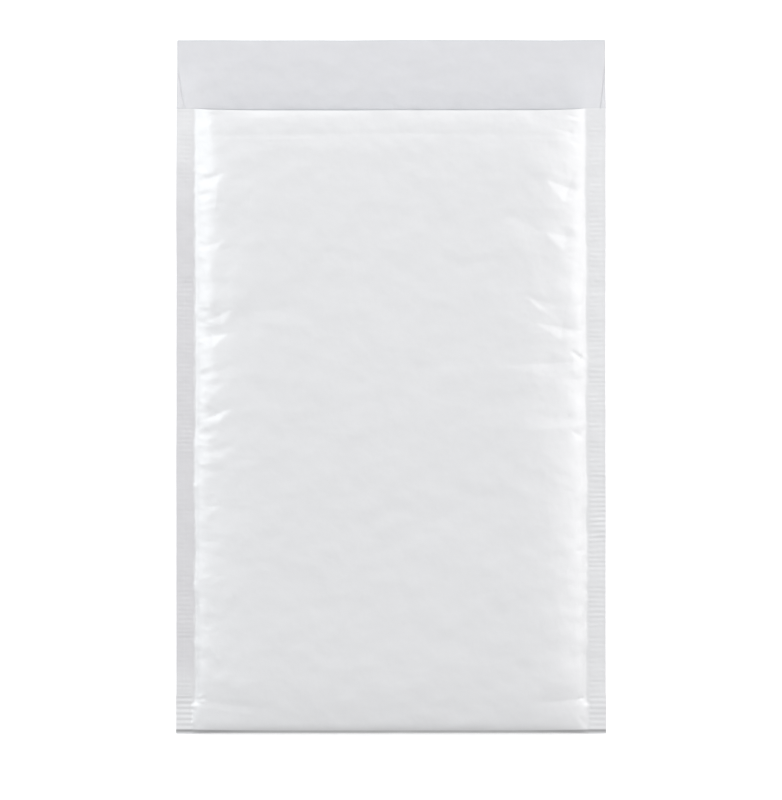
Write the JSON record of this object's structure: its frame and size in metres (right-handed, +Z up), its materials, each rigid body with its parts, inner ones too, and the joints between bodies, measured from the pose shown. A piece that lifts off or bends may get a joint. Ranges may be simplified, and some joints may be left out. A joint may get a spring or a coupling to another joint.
{
  "type": "padded envelope",
  "caption": "Flat white paper mailing envelope lined with bubble film, sealed down both long sides, with an open self-seal flap at one end.",
  "frame": {"origin": "centre of the footprint, on the surface the envelope lies on", "axes": "+X across the width, +Y from the bottom fold towards the flap, +Z up out of the front panel"},
  "size_m": [0.24, 0.389, 0.012],
  "materials": {
    "white_paper": "white kraft paper with a soft sheen",
    "bubble_film": "clear to milky polyethylene bubble film",
    "hot_melt": "pale pressure-sensitive hot-melt adhesive",
    "liner_paper": "thin white siliconised release paper"
  },
  "bodies": {
    "root": {"paper_jacket": "white_paper", "bubble_lining": "bubble_film", "flap_adhesive": "hot_melt", "release_liner": "liner_paper"}
  },
  "joints": []
}
